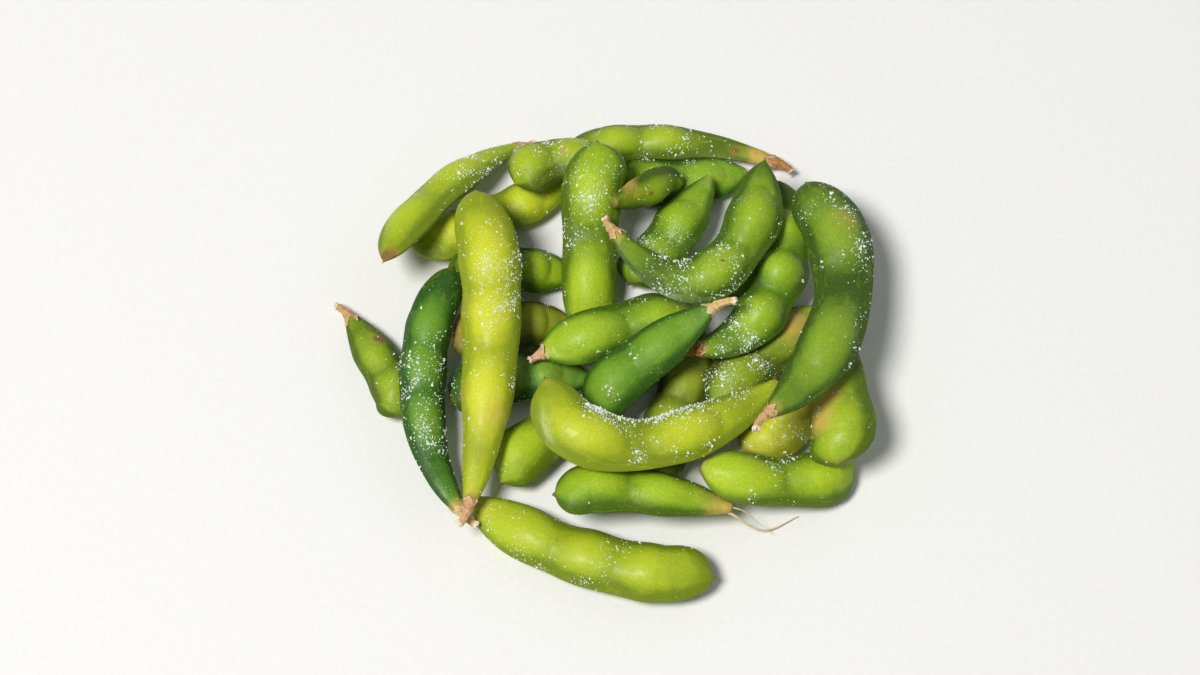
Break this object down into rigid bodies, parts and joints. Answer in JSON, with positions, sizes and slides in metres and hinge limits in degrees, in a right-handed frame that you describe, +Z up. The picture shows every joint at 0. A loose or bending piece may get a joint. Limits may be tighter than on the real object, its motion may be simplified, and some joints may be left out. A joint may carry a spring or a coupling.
{
  "type": "edamame pod bundle",
  "caption": "Loose heap of boiled, salted soybean pods, bent and bulging over their beans, some with dried stem ends, lying as one bundle on a flat surface.",
  "frame": {"origin": "centre of the heap's box in plan, on the surface that it lies on", "axes": "+Z up; the heap is seen from the -Y side; +X is to the right of that view"},
  "size_m": [0.1146, 0.1116, 0.0241],
  "materials": {
    "pod_green": "moist, softly glossy fresh green pod skin",
    "pod_yellow": "moist yellow-green pod skin",
    "pod_deep_green": "moist deep green pod skin",
    "pod_olive": "moist olive pod skin with brown along the seams",
    "stem_brown": "dry brown calyx and stem stub"
  },
  "bodies": {
    "root": {"pod_01": "pod_green", "pod_02": "pod_green", "pod_03": "pod_deep_green", "pod_04": "pod_deep_green", "pod_05": "pod_green", "pod_06": "pod_olive", "pod_07": "pod_olive", "pod_08": "pod_olive", "pod_09": "pod_deep_green", "pod_10": "pod_deep_green", "pod_11": "pod_deep_green", "pod_12": "pod_green", "pod_13": "pod_green", "pod_14": "pod_deep_green", "pod_15": "pod_green", "pod_16": "pod_olive", "pod_17": "pod_green", "pod_18": "pod_green", "pod_19": "pod_green", "pod_20": "pod_green", "pod_21": "pod_olive", "pod_22": "pod_green", "pod_23": "pod_green", "pod_24": "pod_green", "pod_25": "pod_green", "pod_26": "pod_deep_green", "pod_27": "pod_green", "pod_28": "pod_green", "pod_29": "pod_green", "pod_30": "pod_yellow", "stem_01": "stem_brown", "stem_12": "stem_brown", "stem_14": "stem_brown", "stem_15": "stem_brown", "stem_24": "stem_brown", "stem_25": "stem_brown", "stem_26": "stem_brown", "stem_28": "stem_brown", "stem_29": "stem_brown", "stem_30": "stem_brown"}
  },
  "joints": []
}
